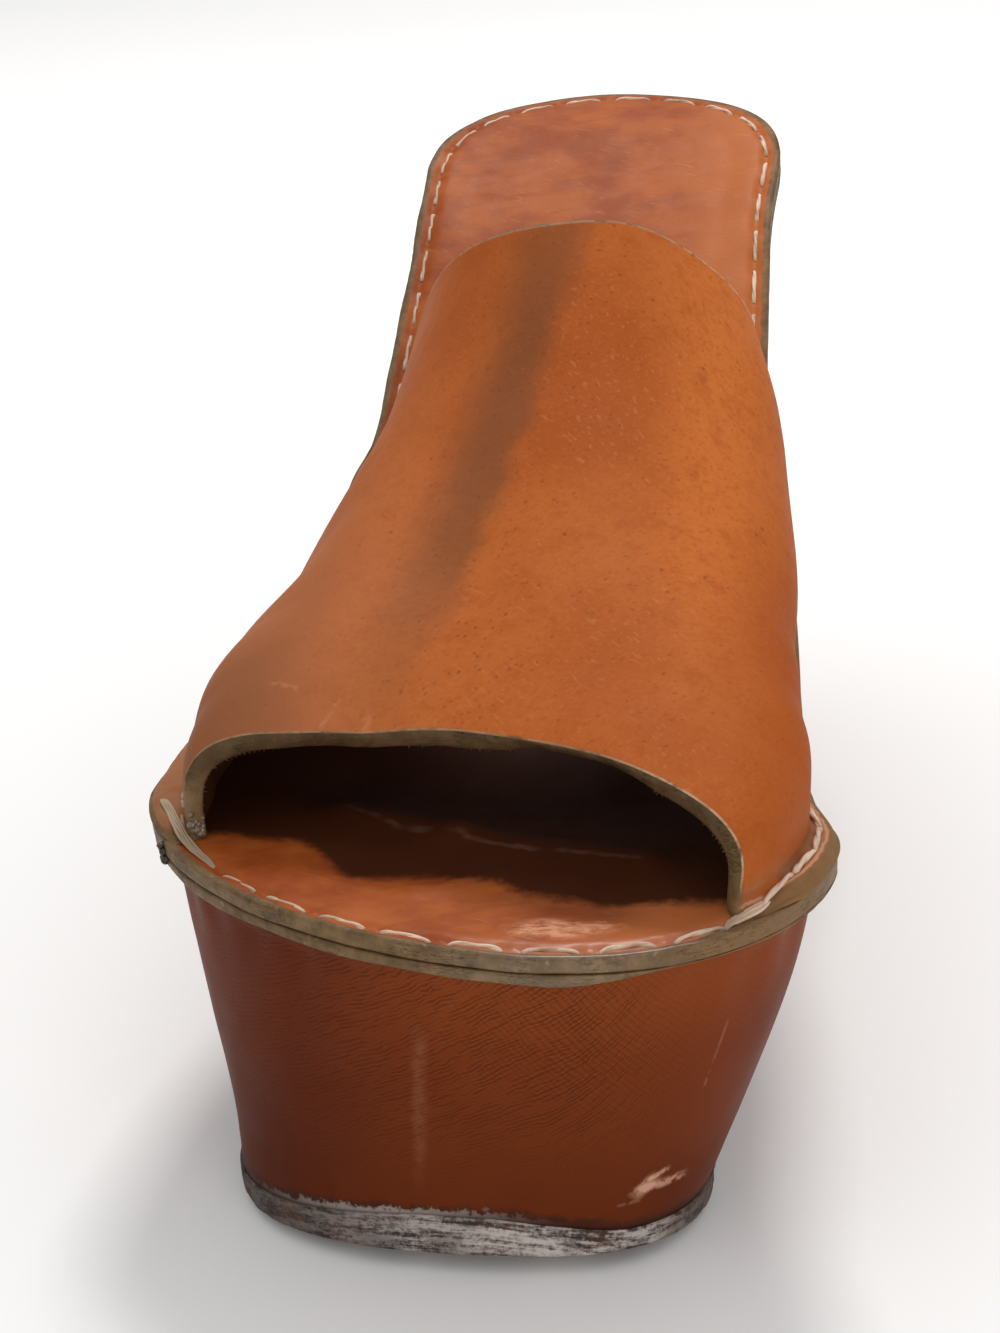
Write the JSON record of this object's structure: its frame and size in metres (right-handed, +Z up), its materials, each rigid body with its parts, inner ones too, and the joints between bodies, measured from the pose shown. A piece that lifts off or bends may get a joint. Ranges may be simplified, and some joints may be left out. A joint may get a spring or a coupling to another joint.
{
  "type": "platform wedge sandal",
  "caption": "Open-toed, open-backed leather sandal for the right foot on a tall covered wedge, its upper turned out and stitched down on the rim of the footbed.",
  "frame": {"origin": "on the floor, under the middle of the sandal's box", "axes": "+Z up, -Y towards the toe, +X towards the big-toe side"},
  "size_m": [0.0956, 0.236, 0.1175],
  "materials": {
    "outsole_leather": "dark, dry and worn",
    "cover_leather": "red-brown, waxed, fine drawn grain",
    "bed_leather": "tan, polished by wear",
    "upper_leather": "cognac tan, satin, fine pores, painted cut edges"
  },
  "bodies": {
    "root": {"outsole": "outsole_leather", "platform_wedge": "cover_leather", "footbed": "bed_leather", "upper": "upper_leather"}
  },
  "joints": []
}
